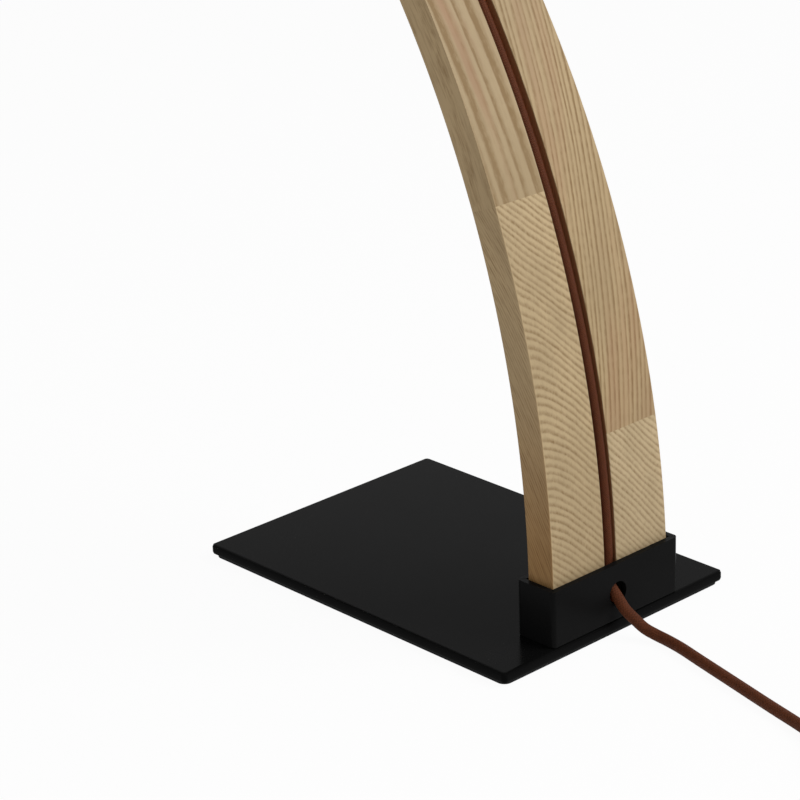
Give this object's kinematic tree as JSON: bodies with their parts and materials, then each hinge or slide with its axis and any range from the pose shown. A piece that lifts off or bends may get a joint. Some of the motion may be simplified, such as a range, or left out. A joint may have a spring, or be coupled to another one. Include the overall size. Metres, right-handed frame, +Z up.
{
  "type": "table lamp",
  "caption": "Arched table lamp: a laminated wooden arc in a steel socket on a flat steel plate carries a dome shade that hangs on a textile cord with a rocker switch.",
  "frame": {"origin": "centre of the pad's underside, on the surface that the lamp stands on", "axes": "+Z up, the arc leans over the plate towards -Y, +X to the left seen from behind"},
  "size_m": [0.2118, 0.7984, 0.5641],
  "materials": {
    "black_steel": "fine satin black powder coat",
    "foot_pad": "matt black",
    "ash_pale": "light ash, thin matt oil",
    "ash_brown": "light ash with pinkish brown streaks, thin matt oil",
    "cord_textile": "dark brown woven textile",
    "zinc_steel": "zinc plated",
    "brass": "plain brass",
    "black_plastic": "matt black moulding",
    "cream_moulding": "cream insulating moulding",
    "shade_black": "spun sheet with a fine satin black powder coat",
    "bulb_metal": "bright pressed sheet",
    "opal_glass": "opal white",
    "tie_rubber": "matt black",
    "pin_metal": "nickel plated"
  },
  "bodies": {
    "stand": {"base_plate": "black_steel", "arm_socket": "black_steel", "cord_grip": "black_steel", "base_pad": "foot_pad", "arm_left_lower": "ash_pale", "arm_left_upper": "ash_pale", "arm_right_foot": "ash_pale", "arm_right_lower": "ash_pale", "arm_right_tip": "ash_pale", "arm_left_middle": "ash_brown", "arm_right_upper": "ash_brown", "arm_cord": "cord_textile", "cord_lead": "cord_textile", "cord_link": "cord_textile", "cord_coil": "cord_textile", "cord_tail": "cord_textile", "foot_bolt_left": "zinc_steel", "foot_bolt_right": "zinc_steel", "grip_screw": "zinc_steel", "switch_screw_near": "zinc_steel", "switch_screw_far": "zinc_steel", "foot_insert_left": "brass", "foot_insert_right": "brass", "switch_terminal_near": "brass", "switch_terminal_far": "brass", "switch_base": "black_plastic", "switch_cover": "black_plastic", "plug_relief": "black_plastic", "plug_body": "black_plastic", "cord_tie": "tie_rubber", "plug_pin_left": "pin_metal", "plug_pin_right": "pin_metal"},
    "drop": {"pendant_cord": "cord_textile"},
    "lamp_head": {"holder_cap": "black_plastic", "cap_screw": "zinc_steel", "holder_body": "black_plastic", "holder_insert": "cream_moulding", "terminal_screw_left": "brass", "terminal_screw_right": "brass", "screw_shell": "brass", "centre_contact": "brass", "shade": "shade_black", "shade_ring": "black_plastic", "bulb_cap": "bulb_metal", "bulb_glass": "opal_glass"},
    "rocker": {"switch_rocker": "black_plastic"}
  },
  "joints": [
    {"name": "pendant_swing", "type": "hinge", "parent": "stand", "child": "drop", "pos_m": [0, -0.27618, 0.5254], "axis": [1, 0, 0], "range_deg": [-25, 25]},
    {"name": "shade_tilt", "type": "hinge", "parent": "drop", "child": "lamp_head", "pos_m": [0, -0.27618, 0.4654], "axis": [0, 1, 0], "range_deg": [-20, 20]},
    {"name": "switch_rock", "type": "hinge", "parent": "stand", "child": "rocker", "pos_m": [0.024, 0.302, 0.0138], "axis": [1, 0, 0], "range_deg": [0, 18]}
  ]
}
